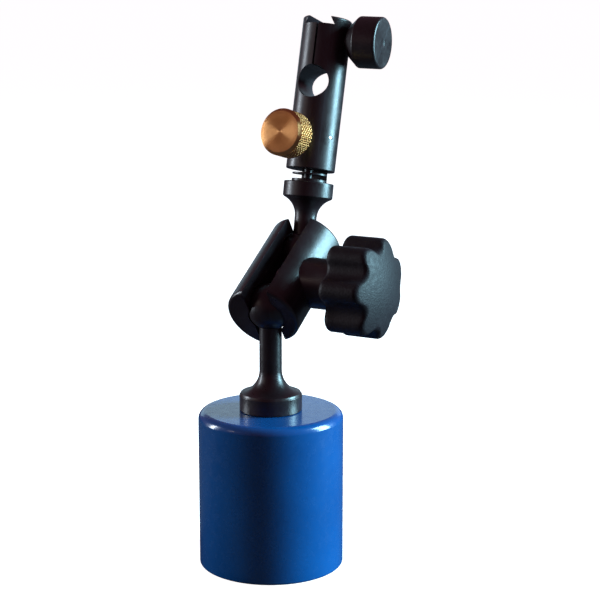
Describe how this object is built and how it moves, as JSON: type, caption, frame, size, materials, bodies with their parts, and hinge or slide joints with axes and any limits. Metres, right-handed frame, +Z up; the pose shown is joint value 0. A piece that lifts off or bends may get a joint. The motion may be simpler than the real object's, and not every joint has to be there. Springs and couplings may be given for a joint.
{
  "type": "magnetic indicator holder",
  "caption": "Small round-magnet holder with a double-ball clamp, lobed knob and round bar that takes a dial indicator's stem or dovetail, with a fine tilt screw.",
  "frame": {"origin": "centre of the magnet's bottom face", "axes": "+Z up along the magnet's axis, +X along the clamp knob's axis, clamp and bar lean toward +Y"},
  "size_m": [0.0451, 0.0521, 0.1314],
  "materials": {
    "blue_paint": "gloss metallic blue",
    "black_oxide": "semi-gloss black oxide",
    "black_plastic": "fine textured black",
    "brass": "turned and knurled",
    "steel": "ground",
    "spring_steel": "bright wire",
    "ferrite": "dull sintered"
  },
  "bodies": {
    "base": {"magnet_cup": "blue_paint", "magnet_disc": "ferrite", "pole_plate": "steel", "pole_spacer_ring": "brass"},
    "lower_stud": {"lower_ball_stud": "black_oxide"},
    "clamp": {"far_jaw": "black_oxide", "clamp_bolt": "black_oxide", "jaw_spring": "spring_steel"},
    "near_jaw": {"near_jaw": "black_oxide", "thrust_collar": "black_oxide", "thrust_washer": "steel"},
    "knob": {"clamp_knob": "black_plastic", "knob_insert": "brass"},
    "upper_stud": {"upper_ball_stud": "black_oxide"},
    "neck": {"flexure_neck": "black_oxide", "tilt_pin": "black_oxide"},
    "bar": {"indicator_bar": "black_oxide", "screw_stop_pin": "steel"},
    "fine_screw": {"fine_screw_head": "brass", "fine_screw_shank": "steel"},
    "stem_clamp": {"stem_clamp_head": "black_oxide", "stem_clamp_screw": "steel"}
  },
  "joints": [
    {"name": "base_swivel", "type": "hinge", "parent": "base", "child": "lower_stud", "pos_m": [0, 0, 0.0635], "axis": [0, 0, 1], "continuous": true},
    {"name": "lower_ball_swing", "type": "hinge", "parent": "lower_stud", "child": "clamp", "pos_m": [0, 0, 0.0635], "axis": [1, 0, 0], "range_deg": [-19, 131]},
    {"name": "jaw_release", "type": "slide", "parent": "clamp", "child": "near_jaw", "axis": [1, 0, 0], "range_m": [0, 0.0008]},
    {"name": "knob_turn", "type": "hinge", "parent": "near_jaw", "child": "knob", "pos_m": [0, 0.00767, 0.06867], "axis": [1, 0, 0], "range_deg": [0, 360]},
    {"name": "upper_ball_swing", "type": "hinge", "parent": "clamp", "child": "upper_stud", "pos_m": [0, 0.01534, 0.07384], "axis": [1, 0, 0], "range_deg": [-119.8, 30.2]},
    {"name": "head_swivel", "type": "hinge", "parent": "upper_stud", "child": "neck", "pos_m": [0, 0.01534, 0.07384], "axis": [0, 0.1942, 0.981], "continuous": true},
    {"name": "fine_tilt", "type": "hinge", "parent": "neck", "child": "bar", "pos_m": [0.00006, 0.02228, 0.09194], "axis": [0.9998, -0.0171, 0.0034], "range_deg": [-1, 2.5]},
    {"name": "fine_screw_turn", "type": "hinge", "parent": "bar", "child": "fine_screw", "pos_m": [0.00001, 0.02107, 0.10088], "axis": [-0.0174, -0.9714, 0.2368], "range_deg": [-138, 346]},
    {"name": "stem_clamp_turn", "type": "hinge", "parent": "bar", "child": "stem_clamp", "pos_m": [0.00003, 0.02699, 0.12517], "axis": [0.9957, 0.0896, -0.0226], "range_deg": [0, 720]}
  ],
  "couplings": [
    {"joint": "jaw_release", "follows": "knob_turn", "m_per_rad": 0.0001114},
    {"joint": "fine_tilt", "follows": "fine_screw_turn", "ratio": 0.00722}
  ]
}
